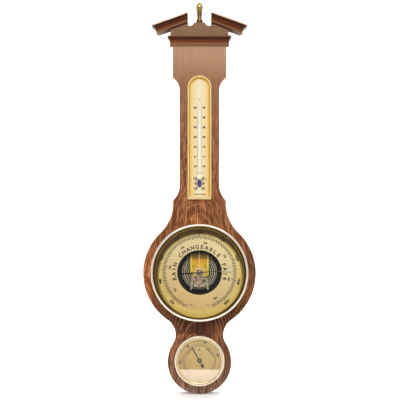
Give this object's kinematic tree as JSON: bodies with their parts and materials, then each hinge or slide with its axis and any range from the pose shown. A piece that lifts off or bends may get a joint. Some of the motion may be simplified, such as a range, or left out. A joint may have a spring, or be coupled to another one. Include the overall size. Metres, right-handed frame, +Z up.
{
  "type": "wall weather station",
  "caption": "Wall weather station on a shaped wooden board with a broken pediment: arched thermometer, open-dial aneroid barometer and a small hygrometer.",
  "frame": {"origin": "middle of the hanger plate's round hole, on the wall plane at the back of the board", "axes": "+Z up along the board, +X to the right as seen from the front, and the front looks along -Y; the wall is the plane y = 0"},
  "size_m": [0.1748, 0.0391, 0.6105],
  "materials": {
    "walnut_wood": "stained and satin lacquered",
    "polished_brass": "polished and lacquered",
    "hand_brass": "polished",
    "satin_gold_dial": "satin, silk printed",
    "reflector_gold": "satin",
    "gilt_frame": "bright gilt",
    "cream_scale": "satin enamel",
    "clear_glass": "polished",
    "tube_glass": "polished",
    "blue_spirit": "dyed liquid",
    "plain_steel": "turned",
    "movement_brass": "brushed",
    "copper_alloy": "satin",
    "blued_steel": "blued",
    "capsule_metal": "pressed nickel silver",
    "dark_case": "dark lacquer",
    "black_hand": "satin black",
    "knob_metal": "turned and polished"
  },
  "bodies": {
    "case": {"case_board": "walnut_wood", "tympanum_board": "walnut_wood", "cornice_front": "walnut_wood", "cornice_return_left": "walnut_wood", "cornice_return_right": "walnut_wood", "pediment_rail_left": "walnut_wood", "pediment_rail_right": "walnut_wood", "finial": "polished_brass", "finial_base_ring": "polished_brass", "barometer_bezel": "polished_brass", "hygrometer_bezel": "polished_brass", "barometer_dial": "satin_gold_dial", "hygrometer_dial": "satin_gold_dial", "reflector_ring": "reflector_gold", "thermometer_frame": "gilt_frame", "tube_clips": "gilt_frame", "frame_pins": "gilt_frame", "barometer_case_screws": "gilt_frame", "hygrometer_case_screws": "gilt_frame", "thermometer_scale": "cream_scale", "barometer_glass": "clear_glass", "hygrometer_glass": "clear_glass", "thermometer_tube": "tube_glass", "thermometer_liquid": "blue_spirit", "gear_plate": "plain_steel", "finial_stud": "plain_steel", "hanger_plate": "plain_steel", "hanger_screws": "plain_steel", "base_plate_screws": "plain_steel", "lever_posts": "plain_steel", "lever_shaft": "plain_steel", "gear_plate_posts": "plain_steel", "sector_stud": "plain_steel", "plate_pillars": "plain_steel", "bridge_screws": "plain_steel", "coil_post": "plain_steel", "bridge_plate": "movement_brass", "hairspring_stud": "movement_brass", "hygrometer_bridge": "movement_brass", "humidity_coil": "copper_alloy", "hairspring": "blued_steel", "aneroid_capsule": "capsule_metal", "barometer_case": "dark_case", "hygrometer_case": "dark_case", "movement_base_plate": "dark_case"},
    "barometer_hand": {"indicator_hand": "black_hand", "hand_arbor": "movement_brass", "arbor_pinion": "movement_brass"},
    "sector": {"sector_gear": "copper_alloy"},
    "rocker": {"rocking_shaft": "plain_steel"},
    "lever": {"main_lever": "movement_brass", "capsule_post": "plain_steel"},
    "set_hand": {"set_hand": "hand_brass", "set_hand_stem": "hand_brass", "set_hand_knob": "knob_metal", "set_hand_washer": "plain_steel"},
    "adjuster": {"adjusting_screw": "plain_steel"},
    "hygrometer_hand": {"hygrometer_hand": "black_hand", "hygrometer_arbor": "movement_brass"}
  },
  "joints": [
    {"name": "hand_turn", "type": "hinge", "parent": "case", "child": "barometer_hand", "pos_m": [0, -0.027, -0.3293], "axis": [0, 1, 0], "range_deg": [-239, 68]},
    {"name": "sector_swing", "type": "hinge", "parent": "case", "child": "sector", "pos_m": [0, -0.0195, -0.3493], "axis": [0, 1, 0], "range_deg": [-7.7, 26.7]},
    {"name": "rocker_swing", "type": "hinge", "parent": "case", "child": "rocker", "pos_m": [0, -0.0154, -0.3493], "axis": [1, 0, 0], "range_deg": [-8.8, 30.4]},
    {"name": "lever_swing", "type": "hinge", "parent": "case", "child": "lever", "pos_m": [0, -0.0135, -0.3073], "axis": [1, 0, 0], "range_deg": [-1.55, 0.45]},
    {"name": "set_hand_turn", "type": "hinge", "parent": "case", "child": "set_hand", "pos_m": [0, -0.03, -0.3293], "axis": [0, 1, 0], "continuous": true},
    {"name": "adjuster_turn", "type": "hinge", "parent": "case", "child": "adjuster", "pos_m": [0, -0.003, -0.3293], "axis": [0, 1, 0], "continuous": true},
    {"name": "hygrometer_hand_turn", "type": "hinge", "parent": "case", "child": "hygrometer_hand", "pos_m": [0, -0.026, -0.4659], "axis": [0, 1, 0], "range_deg": [-120.4, 159.6]}
  ],
  "couplings": [
    {"joint": "sector_swing", "follows": "hand_turn", "ratio": -0.11111},
    {"joint": "rocker_swing", "follows": "hand_turn", "ratio": -0.12626},
    {"joint": "lever_swing", "follows": "hand_turn", "ratio": 0.0063131}
  ]
}
